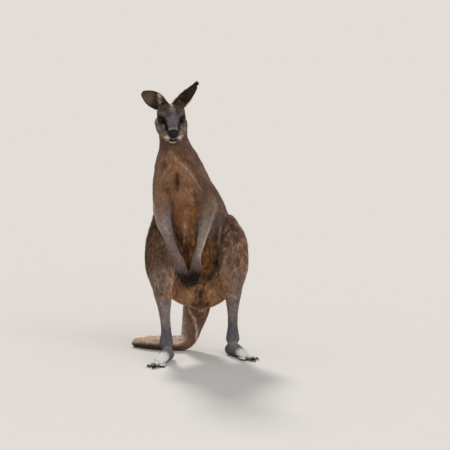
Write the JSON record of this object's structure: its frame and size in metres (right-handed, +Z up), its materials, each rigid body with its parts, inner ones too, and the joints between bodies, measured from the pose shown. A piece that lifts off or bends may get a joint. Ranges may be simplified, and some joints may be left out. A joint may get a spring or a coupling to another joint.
{
  "type": "kangaroo",
  "caption": "Life-size standing male grey kangaroo, facing the viewer, hands hanging in front and the tail laid on the floor; still model, divided at the joints.",
  "frame": {"origin": "middle of the bounding box on plan, at the floor that the soles and the tail rest on", "axes": "+Z up, -Y the way the animal faces, +X towards its own left side"},
  "size_m": [0.6854, 0.8184, 1.4492],
  "materials": {
    "coat": "dense warm grey-brown coat, tan on the chest and belly",
    "face_coat": "very short coat, dark grey with a bluish bridge and pale lips",
    "ear_coat": "short dark coat with a pale edge and pale hair inside",
    "limb_coat": "short grey coat",
    "foot_coat": "short grey coat, nearly black on the toes",
    "dark_coat": "short coat, grey at the wrist and black on the fingers",
    "nose_skin": "bare black skin, fine pebbled, slightly moist",
    "claw": "black horn, polished along the ridge",
    "eye": "dark brown wet eye"
  },
  "bodies": {
    "root": {"head": "face_coat", "nose": "nose_skin", "ear_r": "ear_coat", "ear_l": "ear_coat", "eye_r": "eye", "eye_l": "eye", "neck": "coat", "trunk": "coat", "loins": "coat", "upper_arm_r": "coat", "forearm_r": "limb_coat", "hand_r": "dark_coat", "claw_hand_r_1": "claw", "claw_hand_r_2": "claw", "claw_hand_r_3": "claw", "claw_hand_r_4": "claw", "claw_hand_r_5": "claw", "upper_arm_l": "coat", "forearm_l": "limb_coat", "hand_l": "dark_coat", "claw_hand_l_1": "claw", "claw_hand_l_2": "claw", "claw_hand_l_3": "claw", "claw_hand_l_4": "claw", "claw_hand_l_5": "claw", "thigh_r": "coat", "shin_r": "limb_coat", "foot_r": "foot_coat", "claw_foot_r_2": "claw", "claw_foot_r_3": "claw", "claw_foot_r_4": "claw", "claw_foot_r_5": "claw", "thigh_l": "coat", "shin_l": "limb_coat", "foot_l": "foot_coat", "claw_foot_l_2": "claw", "claw_foot_l_3": "claw", "claw_foot_l_4": "claw", "claw_foot_l_5": "claw", "tail_1": "coat", "tail_2": "coat", "tail_3": "coat", "tail_4": "coat"}
  },
  "joints": []
}
